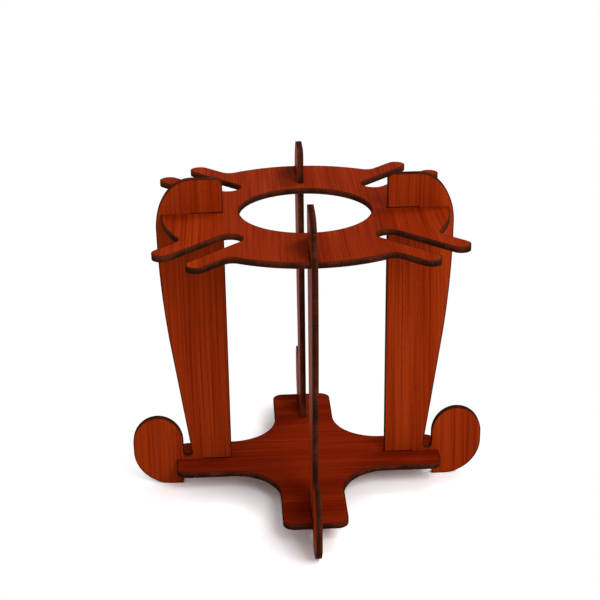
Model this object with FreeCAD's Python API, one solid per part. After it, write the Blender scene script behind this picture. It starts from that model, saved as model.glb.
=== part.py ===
import FreeCAD, Part
import math
import os

# A caddy for one wine bottle and four stemmed glasses, cut from flat laminated board.
# Four identical uprights stand round the bottle and are halved into two level plates:
# a cross that the bottle stands on, and a forked plate that hangs the glasses by their feet.
# Millimetres, +Z up, origin on the ground under the bottle's axis.

# Board, and the play of its halved joints on each side
board = 4.2
lap_play = 0.15

# The bottle that the caddy is made for, and the room round it in the forked plate
bottle_dia = 84.0
bottle_room = 3.2

# Upright, seen from its side: widths run outward from its inner edge, heights from the ground
height = 234.0
setback = 10.8
upright_width = 46.0
crown_width = 24.9
crown_height = 35.0
crown_nick = 4.2
waist_width = 28.8
flank_bend = 45.6

# Foot of the upright, outside a narrow notch
notch_width = 6.0
notch_floor = 2.8
foot_width = 36.2
toe_crown = 20.3
toe_side = 6.8
toe_round = 27.2
sole_length = 7.7
instep_length = 10.0
arm_lift = 7.5
arm_nick = 2.0

# Forked plate: a disc with a two-pronged fork on each diagonal, below the tops of the uprights
glass_plate_drop = 24.5
rim_inset = 3.8
stem_gap = 17.5
prong_width = 13.4
fork_web = 19.8
fork_length = 60.4
fork_fillet = 7.5

# Cross that the bottle stands on
bottle_plate_height = 19.6
tab_width = 44.6
tab_inset = 6.0
tab_corner = 7.5
cross_fillet = 33.0

# Heights and radii from the bottle's axis, worked out from the sizes above
glass_plate_height = height - glass_plate_drop
hole_radius = bottle_dia / 2 + bottle_room
inner_radius = hole_radius + setback
widest_radius = inner_radius + upright_width
waist_radius = inner_radius + waist_width
foot_inner_radius = waist_radius + notch_width
foot_radius = foot_inner_radius + foot_width
rim_radius = widest_radius - rim_inset
tab_radius = widest_radius - tab_inset
gap_radius = hole_radius + fork_web
fork_radius = gap_radius + fork_length
upper_lap_radius = (inner_radius + rim_radius) / 2
lower_lap_radius = (inner_radius + tab_radius) / 2

Z_AXIS = FreeCAD.Vector(0, 0, 1)
ORIGIN = FreeCAD.Vector(0, 0, 0)
QUARTER_TURN = 90
DIAGONAL = 45
SAME_PLACE = 0.01


def spot(x, y):
    return FreeCAD.Vector(x, y, 0)


def line(start, end):
    return Part.LineSegment(spot(*start), spot(*end)).toShape()


def arc(start, through, end):
    return Part.Arc(spot(*start), spot(*through), spot(*end)).toShape()


def bend(start, corner, end):
    """Part of an ellipse from start to end, tangent there to the sides of the corner."""
    first, middle, last = spot(*start), spot(*corner), spot(*end)
    turn = (middle - first).getAngle(last - middle)
    curve = Part.BezierCurve()
    curve.setPoles([first, middle, last])
    curve.setWeight(2, math.cos(turn / 2))
    return curve.toShape()


def box(length, width, thickness, x, y, z):
    return Part.makeBox(length, width, thickness, FreeCAD.Vector(x, y, z))


def disc(radius, thickness, x, y, z):
    return Part.makeCylinder(radius, thickness, FreeCAD.Vector(x, y, z))


def turned(shape, angle):
    copy = shape.copy()
    copy.rotate(ORIGIN, Z_AXIS, angle)
    return copy


def on_each_side(shape, first_angle=0):
    """Four copies of the shape, a quarter turn apart."""
    return [turned(shape, first_angle + side * QUARTER_TURN) for side in range(4)]


def corner_edges(shape, x, y, first_angle=0):
    """The plate's vertical edges at (x, y), turned by the angle, and at that place on its other sides."""
    corners = [corner.Point for corner in on_each_side(Part.Vertex(x, y, 0), first_angle)]
    return [edge for edge in shape.Edges for corner in corners
            if all(math.hypot(end.X - corner.x, end.Y - corner.y) < SAME_PLACE for end in edge.Vertexes)]


def upright_outline():
    """Outline in the upright's own plane, x outward from the bottle's axis and y upward."""
    heel = inner_radius + arm_nick
    heel_top = arm_lift + arm_nick
    top_nick = height - crown_nick
    widest_height = height - crown_height
    crown_start = widest_radius - crown_width
    notch_middle = waist_radius + notch_width / 2
    notch_bottom = bottle_plate_height + notch_floor
    notch_shoulder = notch_bottom + notch_width / 2
    toe_middle = foot_inner_radius + foot_width / 2
    toe_shoulder = toe_round + toe_side
    foot_height = toe_shoulder + toe_crown
    sole_outer = foot_radius - toe_round
    sole_inner = sole_outer - sole_length
    instep = sole_inner - instep_length
    widest = (widest_radius, widest_height)
    waist = (waist_radius, notch_shoulder)
    # The long outer edge leaves the widest point straight down, bends inward and runs straight to the waist
    flank_corner = (widest_radius, widest_height - flank_bend)
    bend_share = flank_bend / math.dist(flank_corner, waist)
    flank_start = tuple(a + bend_share * (b - a) for a, b in zip(flank_corner, waist))
    foot_side = (foot_inner_radius, notch_shoulder)
    toe_inside = (foot_inner_radius, toe_shoulder)
    toe_top = (toe_middle, foot_height)
    toe_outside = (foot_radius, toe_shoulder)
    return Part.Wire([
        line((inner_radius, heel_top), (inner_radius, top_nick)),
        bend((inner_radius, top_nick), (inner_radius, height), (inner_radius + crown_nick, height)),
        line((inner_radius + crown_nick, height), (crown_start, height)),
        bend((crown_start, height), (widest_radius, height), widest),
        bend(widest, flank_corner, flank_start),
        line(flank_start, waist),
        arc(waist, (notch_middle, notch_bottom), foot_side),
        line(foot_side, toe_inside),
        bend(toe_inside, (foot_inner_radius, foot_height), toe_top),
        bend(toe_top, (foot_radius, foot_height), toe_outside),
        line(toe_outside, (foot_radius, toe_round)),
        bend((foot_radius, toe_round), (foot_radius, 0), (sole_outer, 0)),
        line((sole_outer, 0), (sole_inner, 0)),
        bend((sole_inner, 0), (sole_inner, arm_lift), (instep, arm_lift)),
        line((instep, arm_lift), (heel, arm_lift)),
        bend((heel, arm_lift), (inner_radius, arm_lift), (inner_radius, heel_top)),
    ])


def upright_slot(plate_top, lap_radius):
    """The slot in an upright for a plate, which rests on the slot's lower face."""
    mouth = inner_radius - board
    return box(lap_radius - mouth, 2 * board, board + lap_play, mouth, -board, plate_top - board)


def upright():
    """One upright, standing across the +X side of the caddy."""
    solid = Part.Face(upright_outline()).extrude(board * Z_AXIS)
    solid.rotate(ORIGIN, FreeCAD.Vector(1, 0, 0), QUARTER_TURN)
    solid.translate(FreeCAD.Vector(0, board / 2, 0))
    solid = solid.cut(upright_slot(glass_plate_height, upper_lap_radius))
    return solid.cut(upright_slot(bottle_plate_height, lower_lap_radius))


def plate_slots(plate_top, lap_radius, edge_radius):
    """The slots that a plate's edge has for the four uprights."""
    slot_width = board + 2 * lap_play
    slot = box(edge_radius, slot_width, board, lap_radius, -slot_width / 2, plate_top - board)
    return on_each_side(slot)


def glass_plate():
    """The disc round the bottle, with a fork on each diagonal that takes a glass by its stem."""
    bottom = glass_plate_height - board
    prong_middle = (stem_gap + prong_width) / 2
    tip_middle = fork_radius - prong_width / 2
    fork_half = stem_gap / 2 + prong_width
    prong = box(tip_middle, prong_width, board, 0, prong_middle - prong_width / 2, bottom)
    prong = prong.fuse(disc(prong_width / 2, board, tip_middle, prong_middle, bottom))
    prongs = prong.fuse(prong.mirror(ORIGIN, FreeCAD.Vector(0, 1, 0)))
    plate = disc(rim_radius, board, 0, 0, bottom)
    plate = plate.fuse(on_each_side(prongs, DIAGONAL)).removeSplitter()
    throat = math.sqrt(rim_radius ** 2 - fork_half ** 2)
    for side in (-1, 1):
        plate = plate.makeFillet(fork_fillet, corner_edges(plate, throat, side * fork_half, DIAGONAL))
    gap_middle = gap_radius + stem_gap / 2
    gap = box(fork_length, stem_gap, board, gap_middle, -stem_gap / 2, bottom)
    gap = gap.fuse(disc(stem_gap / 2, board, gap_middle, 0, bottom))
    bottle_hole = disc(hole_radius, board, 0, 0, bottom)
    slots = plate_slots(glass_plate_height, upper_lap_radius, rim_radius)
    return plate.cut([bottle_hole] + on_each_side(gap, DIAGONAL) + slots)


def bottle_plate():
    """The cross that the bottle stands on, with a tab towards each upright."""
    half_tab = tab_width / 2
    bar = box(2 * tab_radius, tab_width, board, -tab_radius, -half_tab, bottle_plate_height - board)
    plate = bar.fuse(turned(bar, QUARTER_TURN)).removeSplitter()
    plate = plate.makeFillet(cross_fillet, corner_edges(plate, half_tab, half_tab))
    for side in (-1, 1):
        plate = plate.makeFillet(tab_corner, corner_edges(plate, tab_radius, side * half_tab))
    return plate.cut(plate_slots(bottle_plate_height, lower_lap_radius, tab_radius))


os.makedirs("parts", exist_ok=True)
glass_plate().exportStep("parts/glass_plate.step")
bottle_plate().exportStep("parts/bottle_plate.step")
for place, solid in zip(("right", "back", "left", "front"), on_each_side(upright())):
    solid.exportStep("parts/upright_" + place + ".step")
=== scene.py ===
import bmesh
import bpy
import math
from mathutils import Matrix, Vector


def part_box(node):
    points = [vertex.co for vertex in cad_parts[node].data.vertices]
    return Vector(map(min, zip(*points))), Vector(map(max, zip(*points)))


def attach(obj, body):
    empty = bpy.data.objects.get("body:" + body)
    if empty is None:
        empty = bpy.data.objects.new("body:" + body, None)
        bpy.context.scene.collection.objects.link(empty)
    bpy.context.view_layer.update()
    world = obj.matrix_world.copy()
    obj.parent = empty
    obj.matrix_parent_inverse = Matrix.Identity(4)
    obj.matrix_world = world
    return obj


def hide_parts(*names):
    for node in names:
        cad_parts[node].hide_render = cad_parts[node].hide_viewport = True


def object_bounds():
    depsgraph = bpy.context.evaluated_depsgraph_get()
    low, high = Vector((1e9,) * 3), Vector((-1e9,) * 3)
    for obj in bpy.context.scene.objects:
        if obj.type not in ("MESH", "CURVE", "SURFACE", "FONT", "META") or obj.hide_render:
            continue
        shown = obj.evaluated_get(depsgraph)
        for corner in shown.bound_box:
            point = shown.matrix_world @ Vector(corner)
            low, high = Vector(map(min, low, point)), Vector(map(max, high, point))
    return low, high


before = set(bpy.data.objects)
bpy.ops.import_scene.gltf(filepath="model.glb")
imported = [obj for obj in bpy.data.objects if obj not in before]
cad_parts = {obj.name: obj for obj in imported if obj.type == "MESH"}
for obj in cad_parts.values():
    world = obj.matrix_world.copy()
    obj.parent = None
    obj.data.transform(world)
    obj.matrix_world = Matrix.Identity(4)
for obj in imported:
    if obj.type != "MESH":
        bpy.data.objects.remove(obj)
cad_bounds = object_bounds()


# The uprights: four identical boards of 4 mm fibreboard with a cherry laminate on both faces, cut
# by laser. Each has a rounded horn on top, a long curved back, a narrow notch and a hooked foot.
# They stand a quarter turn apart, and their slots are halved into the slots of the two plates.
TO_RIGHT, TO_BACK, TO_FRONT, UPWARD = (1, 0, 0), (0, 1, 0), (0, -1, 0), (0, 0, 1)
QUARTER_TURN = math.pi / 2
UPRIGHT_MIDDLE = (0.0, 0.0, 0.0)
# The ways across, through and along the grain, and the metres along the sheet to the first
# upright's place in it and from each to the next
UPRIGHT_GRAIN = (TO_RIGHT, TO_BACK, UPWARD)
UPRIGHT_SHEET_PLACE = 0.31
UPRIGHT_SHEET_SPACING = 0.46
UPRIGHT_STAIN = 0.03

# Cutting a board: the laser leaves a crisp arris, and scorches the laminate beside it in a dark
# line that fades in about 1 mm. The board is the frame's own solid, with that arris and that line
# worked into its mesh.
SAME_POINT = 0.000001
SAME_PLANE = math.radians(0.4)
FLAT_ENOUGH = 0.999
ARRIS = 0.00018
ARRIS_SEGMENTS = 2
ARRIS_ROUND = 0.5
SCORCH_STEP = 0.0002
SCORCH_LEVELS = (1.0, 0.9, 0.7, 0.45, 0.22, 0.08, 0.0)
CROWDED_POINTS = SCORCH_STEP * 1.2
CURVED_EDGE_ANGLE = math.radians(30)


def is_skin(face, through):
    """Whether a face lies on one of the board's two laminated sides."""
    return abs(face.normal.dot(through)) > FLAT_ENOUGH


def cut_board(node, through):
    """The mesh of a node's board, with its arrises and scorched lines.

    through is the way through the board's thickness.
    """
    through = Vector(through)
    # The solid comes as loose triangles, and is made whole faces again
    shape = bmesh.new()
    shape.from_mesh(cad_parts[node].data)
    bmesh.ops.remove_doubles(shape, verts=shape.verts, dist=SAME_POINT)
    bmesh.ops.dissolve_limit(shape, angle_limit=SAME_PLANE, verts=shape.verts, edges=shape.edges)
    bmesh.ops.recalc_face_normals(shape, faces=shape.faces)
    arrises = [edge for edge in shape.edges
               if len({is_skin(face, through) for face in edge.link_faces}) == 2]
    bmesh.ops.bevel(shape, geom=arrises, offset=ARRIS, segments=ARRIS_SEGMENTS,
                    profile=ARRIS_ROUND, affect="EDGES")
    scorch = shape.verts.layers.float.new("scorch")
    charred = shape.faces.layers.bool.new("charred")
    unscorched = shape.faces.layers.int.new("unscorched")
    for face in shape.faces:
        face[unscorched] = is_skin(face, through)
        face[charred] = not face[unscorched]
        face.smooth = face[charred]
    for vert in shape.verts:
        vert[scorch] = SCORCH_LEVELS[0]
    # Ring by ring inwards on both skins, each ring less scorched than the last
    for level in SCORCH_LEVELS[1:]:
        skins = [face for face in shape.faces if face[unscorched]]
        rims = bmesh.ops.inset_region(shape, faces=skins, thickness=SCORCH_STEP,
                                      use_even_offset=True)["faces"]
        for face in rims:
            face[unscorched] = 0
        inner = list(dict.fromkeys(vert for face in skins for vert in face.verts))
        for vert in inner:
            vert[scorch] = level
        bmesh.ops.remove_doubles(shape, verts=inner, dist=CROWDED_POINTS)
    bmesh.ops.triangulate(shape, faces=[face for face in shape.faces if face[unscorched]])
    for edge in shape.edges:
        edge.smooth = edge.calc_face_angle(math.pi) < CURVED_EDGE_ANGLE
    board = bpy.data.meshes.new(node + "_cut")
    shape.to_mesh(board)
    shape.free()
    return board


# The laminate: a thin cherry-stained veneer under satin lacquer. Straight fibres run along each
# board in broad bands of tone, with fine darker streaks and short open pores, and the lacquer
# follows the pores a little.
CHERRY_TONES = [(0.30, (0.155, 0.0090, 0.0010)), (0.50, (0.262, 0.0230, 0.0028)),
                (0.70, (0.360, 0.0410, 0.0060))]
# Each pattern's repeats are per metre, across, through and along the grain
DRIFT_REPEATS, DRIFT_DETAIL, DRIFT = (14.0, 5.0, 5.0), 1.0, 0.010
BAND_REPEATS, BAND_DETAIL, BAND_COARSENESS, BAND_SHARE = (62.0, 9.0, 2.2), 3.0, 0.55, 0.5
FIBRE_REPEATS, FIBRE_DETAIL, FIBRE_COARSENESS, FIBRE_RELIEF = (720.0, 20.0, 7.0), 3.0, 0.6, 0.4
STREAK_BROWN = (0.070, 0.0060, 0.0012, 1.0)
STREAK_START, STREAK_END, STREAK_DEPTH = 0.30, 0.50, 0.35
PORE_REPEATS, PORE_DETAIL = (2600.0, 20.0, 190.0), 1.0
PORE_BROWN = (0.030, 0.0040, 0.0015, 1.0)
PORE_START, PORE_END, PORE_DEPTH = 0.63, 0.72, 0.5
SCORCH_BROWN = (0.020, 0.0060, 0.0028, 1.0)
SCORCH_START, SCORCH_END = 0.25, 0.9
RAGGED_REPEATS, RAGGED_DETAIL, RAGGED_MIDDLE, RAGGEDNESS = 520.0, 2.0, 0.5, 0.4
LACQUER_ROUGHNESS, SCORCHED_ROUGHER = (0.30, 0.40), 0.25
GLOSSY_FIBRE, DULL_FIBRE = 0.3, 0.7
LACQUER_GLOSS = 0.001
LACQUER_RELIEF = 0.00004


class Signal:
    """A value in a node tree. An expression on it adds the Math nodes that work it out."""

    def __init__(self, graph, socket):
        self.graph = graph
        self.socket = socket

    def math(self, operation, *values):
        operands = dict(enumerate(values))
        return self.graph.node("ShaderNodeMath", {"operation": operation}, operands)

    def __add__(self, other):
        return self.math("ADD", self, other)

    def __sub__(self, other):
        return self.math("SUBTRACT", self, other)

    def __mul__(self, other):
        return self.math("MULTIPLY", self, other)

    def __rsub__(self, other):
        return self.math("SUBTRACT", other, self)

    __radd__ = __add__
    __rmul__ = __mul__


class Graph:
    """A node tree in the making. node() adds any node: its settings first, then its sockets."""

    # A Mix node's sockets for colours, which have the same names as those for other values
    MIX_SHARE, MIX_FIRST, MIX_SECOND, MIX_RESULT = 0, 6, 7, 2

    def __init__(self, tree):
        self.tree = tree
        self.tree.nodes.clear()

    def node(self, kind, settings, sockets, output=0):
        node = self.tree.nodes.new(kind)
        for name, value in settings.items():
            if name == "stops":
                self.set_stops(node.color_ramp, value)
            else:
                setattr(node, name, value)
        for name, value in sockets.items():
            if isinstance(value, Signal):
                self.tree.links.new(value.socket, node.inputs[name])
            else:
                node.inputs[name].default_value = value
        return Signal(self, node.outputs[output]) if node.outputs else None

    def set_stops(self, ramp, stops):
        while len(ramp.elements) < len(stops):
            ramp.elements.new(1.0)
        for element, (position, color) in zip(ramp.elements, stops):
            element.position = position
            element.color = (*color, 1.0)

    def outputs(self, signal):
        """Every output of the node that a signal comes from, by name."""
        return {socket.name: Signal(self, socket) for socket in signal.socket.node.outputs}

    def attribute(self, name, output="Fac"):
        return self.node("ShaderNodeAttribute", {"attribute_name": name}, {}, output)

    def split(self, vector):
        return list(self.outputs(self.node("ShaderNodeSeparateXYZ", {}, {0: vector})).values())

    def stretched(self, ways, repeats):
        """The place that the three ways give, scaled to a pattern's repeats along each of them."""
        scaled = [way * repeat for way, repeat in zip(ways, repeats)]
        return self.node("ShaderNodeCombineXYZ", {}, dict(enumerate(scaled)))

    def noise(self, point, detail, roughness=0.5, scale=1.0):
        sockets = {"Vector": point, "Scale": scale, "Detail": detail, "Roughness": roughness}
        return self.node("ShaderNodeTexNoise", {}, sockets, "Fac")

    def ramp(self, value, stops):
        return self.node("ShaderNodeValToRGB", {"stops": stops}, {"Fac": value})

    def step(self, value, start, end, low=0.0, high=1.0):
        sockets = {"Value": value, "From Min": start, "From Max": end,
                   "To Min": low, "To Max": high}
        return self.node("ShaderNodeMapRange", {"interpolation_type": "SMOOTHSTEP"}, sockets)

    def mix(self, share, first, second):
        sockets = {self.MIX_SHARE: share, self.MIX_FIRST: first, self.MIX_SECOND: second}
        return self.node("ShaderNodeMix", {"data_type": "RGBA"}, sockets, self.MIX_RESULT)

    def bump(self, height, distance):
        return self.node("ShaderNodeBump", {}, {"Height": height, "Distance": distance})


def new_finish(name):
    """A new material and its node tree."""
    material = bpy.data.materials.new(name)
    material.use_nodes = True
    return material, Graph(material.node_tree)


# The grain attribute is a point's place in the sheet that its board was cut from: across, through
# and along the fibres. A second attribute, given per board, makes its laminate a little darker or
# lighter: the board's own tone, and on the cross painted shade.
laminate, graph = new_finish("cherry_laminate")
grain = graph.attribute("grain", "Vector")
across, through, along = graph.split(grain)
drift = graph.noise(graph.stretched((across, through, along), DRIFT_REPEATS), DRIFT_DETAIL)
ways = (across + drift * DRIFT, through, along)
bands = graph.noise(graph.stretched(ways, BAND_REPEATS), BAND_DETAIL, BAND_COARSENESS)
fibres = graph.noise(graph.stretched(ways, FIBRE_REPEATS), FIBRE_DETAIL, FIBRE_COARSENESS)
pores = graph.noise(graph.stretched(ways, PORE_REPEATS), PORE_DETAIL)
streaks = graph.step(fibres, STREAK_START, STREAK_END, STREAK_DEPTH, 0.0)
open_pores = graph.step(pores, PORE_START, PORE_END, 0.0, PORE_DEPTH)
shade = bands * BAND_SHARE + fibres * (1.0 - BAND_SHARE) + graph.attribute("stain")
tone = graph.ramp(shade, CHERRY_TONES)
veneer = graph.mix(open_pores, graph.mix(streaks, tone, STREAK_BROWN), PORE_BROWN)
ragged = graph.noise(grain, RAGGED_DETAIL, scale=RAGGED_REPEATS) - RAGGED_MIDDLE
scorched = graph.step(graph.attribute("scorch") + ragged * RAGGEDNESS, SCORCH_START, SCORCH_END)
lacquer_roughness = graph.step(fibres, GLOSSY_FIBRE, DULL_FIBRE, *LACQUER_ROUGHNESS)
relief = (1.0 - open_pores) + fibres * FIBRE_RELIEF
shader = graph.node("ShaderNodeBsdfPrincipled", {}, {
    "Base Color": graph.mix(scorched, veneer, SCORCH_BROWN),
    "Roughness": lacquer_roughness + scorched * SCORCHED_ROUGHER,
    "Specular IOR Level": LACQUER_GLOSS,
    "Normal": graph.bump(relief, LACQUER_RELIEF)})
graph.node("ShaderNodeOutputMaterial", {}, {"Surface": shader})

# The cut edge: fibreboard charred by the laser, in patches from near black to dark brown. It is
# painted lighter towards one face of the board and darker towards the other. On the level plates
# that is painted light from above on the upper half of the edge. Fine kerf lines cross its
# thickness, and along each arris the laminate's skin shows as a slightly lighter line, part of it
# a painted highlight.
CHAR_TONES = [(0.34, (0.010, 0.0040, 0.0024)), (0.50, (0.030, 0.0075, 0.0038)),
              (0.66, (0.090, 0.0180, 0.0080))]
KERF_REPEATS, KERF_DETAIL, KERF_COARSENESS, KERF_SHARE = (1500.0, 120.0, 1500.0), 2.0, 0.6, 0.4
SOOT_REPEATS, SOOT_DETAIL = 60.0, 3.0
PAINTED_SHADE_TONE, PAINTED_LIGHT_TONE = -0.06, 0.10
# The lines of laminate skin and painted highlight start and end this far in from the board's faces
SKIN_AND_HIGHLIGHT_START, SKIN_AND_HIGHLIGHT_END = 0.00075, 0.00025
SKIN_AND_HIGHLIGHT_BROWN, SKIN_AND_HIGHLIGHT_DEPTH = (0.080, 0.0170, 0.0080, 1.0), 0.75
CHAR_ROUGHNESS = 0.7
CHAR_GLOSS = 0.004
KERF_RELIEF = 0.00005
forked_low, forked_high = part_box("glass_plate")
board_face = (forked_high.z - forked_low.z) / 2
cut_edge, graph = new_finish("charred_cut_edge")
grain = graph.attribute("grain", "Vector")
across, through, along = graph.split(grain)
depth = through.math("ABSOLUTE", through)
kerf = graph.noise(graph.stretched((across, depth, along), KERF_REPEATS), KERF_DETAIL,
                   KERF_COARSENESS)
soot = graph.noise(grain, SOOT_DETAIL, scale=SOOT_REPEATS)
# Painted light: the char is lighter towards one face of the board and darker towards the other
painted_edge_light = graph.step(through, -board_face, board_face, PAINTED_SHADE_TONE, PAINTED_LIGHT_TONE)
char = graph.ramp(kerf * KERF_SHARE + soot * (1.0 - KERF_SHARE) + painted_edge_light, CHAR_TONES)
# The laminate's own lighter edge, widened with a painted highlight along each arris
skin_and_highlight = graph.step(depth, board_face - SKIN_AND_HIGHLIGHT_START, board_face - SKIN_AND_HIGHLIGHT_END,
                       0.0, SKIN_AND_HIGHLIGHT_DEPTH)
shader = graph.node("ShaderNodeBsdfPrincipled", {}, {
    "Base Color": graph.mix(skin_and_highlight, char, SKIN_AND_HIGHLIGHT_BROWN),
    "Roughness": CHAR_ROUGHNESS,
    "Specular IOR Level": CHAR_GLOSS,
    "Normal": graph.bump(kerf, KERF_RELIEF)})
graph.node("ShaderNodeOutputMaterial", {}, {"Surface": shader})

# Laying a board: it is cut from its place in the sheet, which gives it its own grain, and is then
# turned round the holder's upright middle line to its place, with laminate on its two sides and
# char on its cut edges.
laying = bpy.data.node_groups.new("laying", "GeometryNodeTree")
for name, kind in (("Geometry", "NodeSocketGeometry"), ("Board Middle", "NodeSocketVector"),
                   ("Sheet Turn", "NodeSocketRotation"), ("Sheet Place", "NodeSocketVector"),
                   ("Stain And Shade", "NodeSocketFloat"), ("Holder Turn", "NodeSocketRotation")):
    laying.interface.new_socket(name, in_out="INPUT", socket_type=kind)
laying.interface.new_socket("Geometry", in_out="OUTPUT", socket_type="NodeSocketGeometry")
graph = Graph(laying)
given = graph.outputs(graph.node("NodeGroupInput", {}, {}))
position = graph.node("GeometryNodeInputPosition", {}, {})
from_middle = graph.node("ShaderNodeVectorMath", {"operation": "SUBTRACT"},
                         {0: position, 1: given["Board Middle"]})
in_sheet = graph.node("FunctionNodeRotateVector", {},
                      {"Vector": from_middle, "Rotation": given["Sheet Turn"]})
in_sheet = graph.node("ShaderNodeVectorMath", {"operation": "ADD"},
                      {0: in_sheet, 1: given["Sheet Place"]})
board = graph.node("GeometryNodeStoreNamedAttribute",
                   {"data_type": "FLOAT_VECTOR", "domain": "POINT"},
                   {"Geometry": given["Geometry"], "Name": "grain", "Value": in_sheet})
board = graph.node("GeometryNodeStoreNamedAttribute", {"data_type": "FLOAT", "domain": "POINT"},
                   {"Geometry": board, "Name": "stain", "Value": given["Stain And Shade"]})
board = graph.node("GeometryNodeTransform", {},
                   {"Geometry": board, "Rotation": given["Holder Turn"]})
board = graph.node("GeometryNodeRealizeInstances", {}, {"Geometry": board})
board = graph.node("GeometryNodeSetMaterial", {}, {"Geometry": board, "Material": laminate})
charred = graph.node("GeometryNodeInputNamedAttribute", {"data_type": "BOOLEAN"},
                     {"Name": "charred"})
board = graph.node("GeometryNodeSetMaterial", {},
                   {"Geometry": board, "Selection": charred, "Material": cut_edge})
graph.node("NodeGroupOutput", {}, {"Geometry": board})


def lay_board(node, board, middle, grain_ways, sheet_place, stain, holder_turn=0.0):
    """Make the finished board that stands for a node, from its cut mesh.

    grain_ways are the ways across, through and along its grain.
    """
    blank = bpy.data.objects.new(node + "_blank", board)
    bpy.context.scene.collection.objects.link(blank)
    modifier = blank.modifiers.new("laying", "NODES")
    modifier.node_group = laying
    values = {"Board Middle": middle, "Sheet Turn": tuple(Matrix(grain_ways).to_euler()),
              "Sheet Place": (0.0, 0.0, sheet_place), "Stain And Shade": stain,
              "Holder Turn": (0.0, 0.0, holder_turn)}
    for socket in laying.interface.items_tree:
        if socket.name in values:
            modifier[socket.identifier] = values[socket.name]
    depsgraph = bpy.context.evaluated_depsgraph_get()
    mesh = bpy.data.meshes.new_from_object(
        blank.evaluated_get(depsgraph), preserve_all_data_layers=True, depsgraph=depsgraph)
    bpy.data.objects.remove(blank)
    piece = bpy.data.objects.new(node + "_finished", mesh)
    bpy.context.scene.collection.objects.link(piece)
    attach(piece, "root")
    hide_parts(node)


upright_board = cut_board("upright_right", TO_BACK)
for number, side in enumerate(("right", "back", "left", "front")):
    lay_board("upright_" + side, upright_board, UPRIGHT_MIDDLE, UPRIGHT_GRAIN,
              UPRIGHT_SHEET_PLACE + number * UPRIGHT_SHEET_SPACING, UPRIGHT_STAIN,
              number * QUARTER_TURN)

# The forked plate: a level disc of the same board with a round hole in its middle and a
# two-pronged fork on each diagonal, cut with its grain running from front to back. It lies in the
# uprights' upper slots.
FORKED_PLATE_GRAIN = (TO_RIGHT, UPWARD, TO_FRONT)
FORKED_PLATE_SHEET_PLACE = 2.06
FORKED_PLATE_STAIN = -0.05
forked_plate_middle = (0.0, 0.0, (forked_low.z + forked_high.z) / 2)
lay_board("glass_plate", cut_board("glass_plate", UPWARD), forked_plate_middle,
          FORKED_PLATE_GRAIN, FORKED_PLATE_SHEET_PLACE, FORKED_PLATE_STAIN)

# The cross: a level plate of the same board with wide rounded inner corners, painted a little
# darker than the rest as shade from what stands above it, and cut with its grain running from side
# to side. It lies in the uprights' lower slots and is the holder's floor.
CROSS_GRAIN = (TO_BACK, UPWARD, TO_RIGHT)
CROSS_SHEET_PLACE = 2.71
# Painted shade: the whole cross is made darker than the other boards
CROSS_PAINTED_SHADE = -0.15
cross_low, cross_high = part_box("bottle_plate")
cross_middle = (0.0, 0.0, (cross_low.z + cross_high.z) / 2)
lay_board("bottle_plate", cut_board("bottle_plate", UPWARD), cross_middle,
          CROSS_GRAIN, CROSS_SHEET_PLACE, CROSS_PAINTED_SHADE)

# The ground: a plain white studio sweep, far wider than the holder. Near the holder it shows the
# soft shadow on its white paint, and in the open it is plain white.
FLOOR_REACH = 6.0
SHADOW_REACH = 0.12
SHADED, OPEN = 0.6, 0.95
# The paint that lights the holder from below, and the lighter one that the camera sees
FLOOR_PAINT = (0.8, 0.8, 0.8, 1.0)
SHOWN_FLOOR_PAINT = (1.45, 1.45, 1.45, 1.0)


def seen_rays(graph):
    """One for the rays that the camera sees, also in a gloss or through something clear.

    It is zero for the light that falls on a surface.
    """
    rays = graph.outputs(graph.node("ShaderNodeLightPath", {}, {}))
    seen = rays["Is Camera Ray"]
    for name in ("Is Glossy Ray", "Is Transmission Ray"):
        seen = seen.math("MAXIMUM", seen, rays[name])
    return seen


studio_white, graph = new_finish("studio_white")
openness = graph.node("ShaderNodeAmbientOcclusion", {}, {"Distance": SHADOW_REACH}, "AO")
white = graph.node("ShaderNodeEmission", {}, {"Strength": 1.0})
paint = graph.node("ShaderNodeBsdfDiffuse", {}, {"Color": FLOOR_PAINT})
shown_paint = graph.node("ShaderNodeBsdfDiffuse", {}, {"Color": SHOWN_FLOOR_PAINT})
shown = graph.node("ShaderNodeMixShader", {},
                   {0: graph.step(openness, SHADED, OPEN), 1: shown_paint, 2: white})
shader = graph.node("ShaderNodeMixShader", {}, {0: seen_rays(graph), 1: paint, 2: shown})
graph.node("ShaderNodeOutputMaterial", {}, {"Surface": shader})
floor_mesh = bpy.data.meshes.new("floor")
floor_corners = [(-FLOOR_REACH, -FLOOR_REACH, 0), (FLOOR_REACH, -FLOOR_REACH, 0),
                 (FLOOR_REACH, FLOOR_REACH, 0), (-FLOOR_REACH, FLOOR_REACH, 0)]
floor_mesh.from_pydata(floor_corners, [], [(0, 1, 2, 3)])
floor_mesh.materials.append(studio_white)
floor = bpy.data.objects.new("floor", floor_mesh)
bpy.context.scene.collection.objects.link(floor)

# The studio light: an even white surround, one soft lamp high behind on the right, and a larger
# one in front. Seen directly, the surround is plain white.
SURROUND_LIGHT, SURROUND_SHOWN, SURROUND_WHITE = 0.55, 1.0, (1.0, 1.0, 1.0, 1.0)
KEY_LAMP_PLACE, KEY_LAMP_SIZE, KEY_LAMP_WATTS = Vector((0.75, 0.55, 1.25)), 0.5, 8.5
FRONT_LAMP_PLACE, FRONT_LAMP_SIZE, FRONT_LAMP_WATTS = Vector((0.6, -1.2, 1.2)), 0.8, 17.0
world = bpy.data.worlds.new("studio")
world.use_nodes = True
bpy.context.scene.world = world
graph = Graph(world.node_tree)
strength = graph.step(seen_rays(graph), 0.0, 1.0, SURROUND_LIGHT, SURROUND_SHOWN)
surround = graph.node("ShaderNodeBackground", {}, {"Color": SURROUND_WHITE, "Strength": strength})
graph.node("ShaderNodeOutputWorld", {}, {"Surface": surround})


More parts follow.
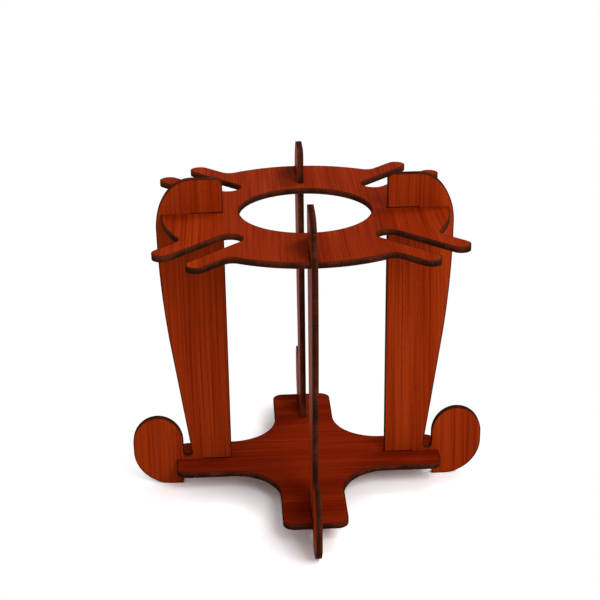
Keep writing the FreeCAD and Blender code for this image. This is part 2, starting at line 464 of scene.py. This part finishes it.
def soft_lamp(name, place, size, watts):
    """A square soft lamp that shines on the middle of the holder."""
    light = bpy.data.lights.new(name, "AREA")
    light.size = size
    light.energy = watts
    lamp = bpy.data.objects.new(name, light)
    holder_middle = Vector((0, 0, cad_bounds[1][2] / 2))
    turn = (holder_middle - place).to_track_quat("-Z", "Y").to_matrix().to_4x4()
    lamp.matrix_world = Matrix.Translation(place) @ turn
    bpy.context.scene.collection.objects.link(lamp)


soft_lamp("key_lamp", KEY_LAMP_PLACE, KEY_LAMP_SIZE, KEY_LAMP_WATTS)
soft_lamp("front_lamp", FRONT_LAMP_PLACE, FRONT_LAMP_SIZE, FRONT_LAMP_WATTS)

# The camera, worked out from the photograph's own perspective: it looks down from the front, a
# little from the left, and leans slightly.
FRAME_PIXELS = 600
SENSOR_MM = 36.0
FOCAL_PIXELS = 1373.7
CAMERA_TURN, CAMERA_DROP = math.radians(-2.86), math.radians(23.25)
CAMERA_LEAN = math.radians(-0.74)
CAMERA_DISTANCE = 0.9626
AIM_RIGHT, AIM_UP = -0.0044, 0.1424
back = Vector((math.sin(CAMERA_TURN) * math.cos(CAMERA_DROP),
               -math.cos(CAMERA_TURN) * math.cos(CAMERA_DROP),
               math.sin(CAMERA_DROP)))
level_right = Vector((math.cos(CAMERA_TURN), math.sin(CAMERA_TURN), 0))
level_up = back.cross(level_right)
right = level_right * math.cos(CAMERA_LEAN) + level_up * math.sin(CAMERA_LEAN)
up = level_up * math.cos(CAMERA_LEAN) - level_right * math.sin(CAMERA_LEAN)
eye = level_right * AIM_RIGHT + Vector((0, 0, AIM_UP)) + back * CAMERA_DISTANCE
lens = bpy.data.cameras.new("camera")
lens.sensor_width = SENSOR_MM
lens.lens = FOCAL_PIXELS * SENSOR_MM / FRAME_PIXELS
camera = bpy.data.objects.new("camera", lens)
camera.matrix_world = Matrix.Translation(eye) @ Matrix((right, up, back)).transposed().to_4x4()
bpy.context.scene.collection.objects.link(camera)
bpy.context.scene.camera = camera
bpy.context.scene.view_settings.view_transform = "Standard"
